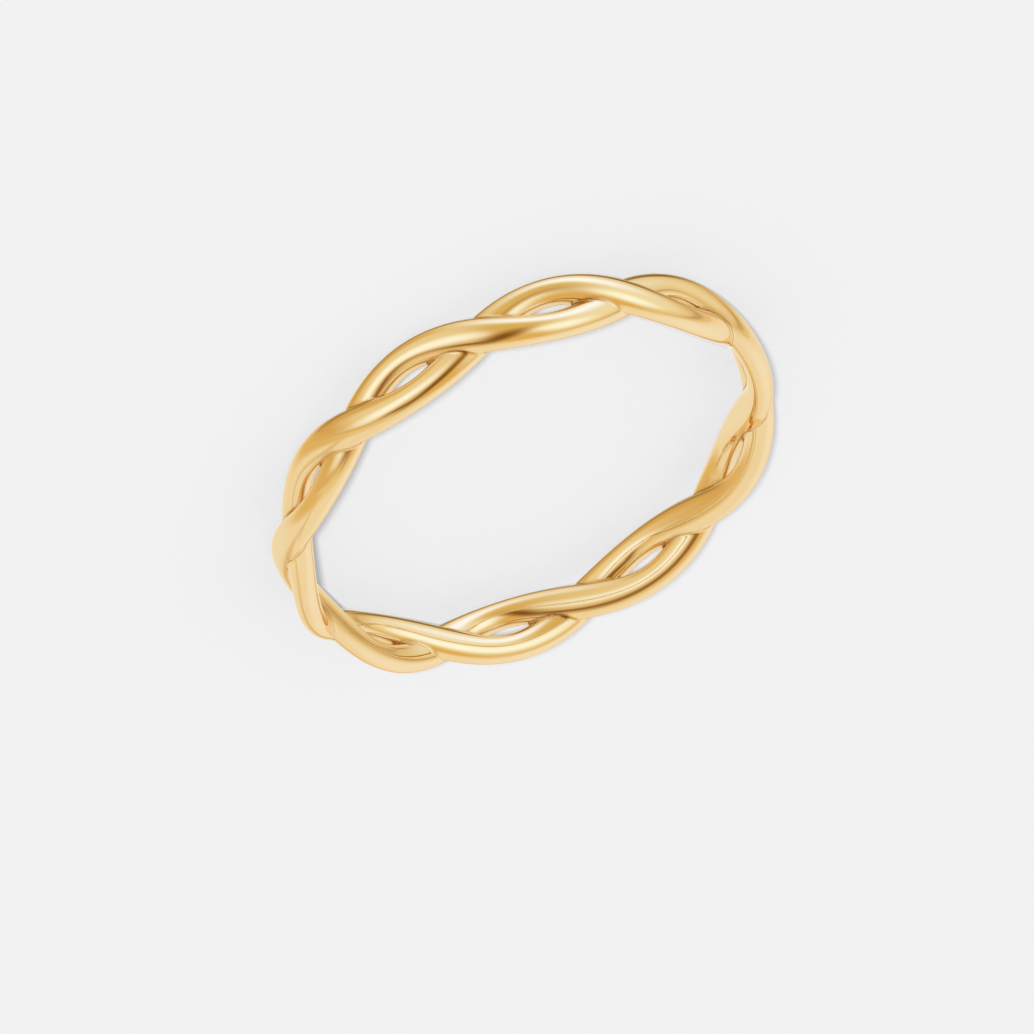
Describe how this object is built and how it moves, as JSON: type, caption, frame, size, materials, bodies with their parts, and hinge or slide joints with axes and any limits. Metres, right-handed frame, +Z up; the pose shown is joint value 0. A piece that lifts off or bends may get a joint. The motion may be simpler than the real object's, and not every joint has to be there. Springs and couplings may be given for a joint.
{
  "type": "twist ring",
  "caption": "Slim gold finger ring: two oval strands twist round each other and are cast as one band with pointed eyes between the crossings.",
  "frame": {"origin": "on the surface that the ring lies on, under the middle of the finger hole", "axes": "+Z up, along the ring's own axis, with the ring lying on its side; +X through one of the crossings"},
  "size_m": [0.02, 0.0196, 0.0027],
  "materials": {
    "polished_gold": "high polish yellow gold"
  },
  "bodies": {
    "root": {"twist_band": "polished_gold"}
  },
  "joints": []
}
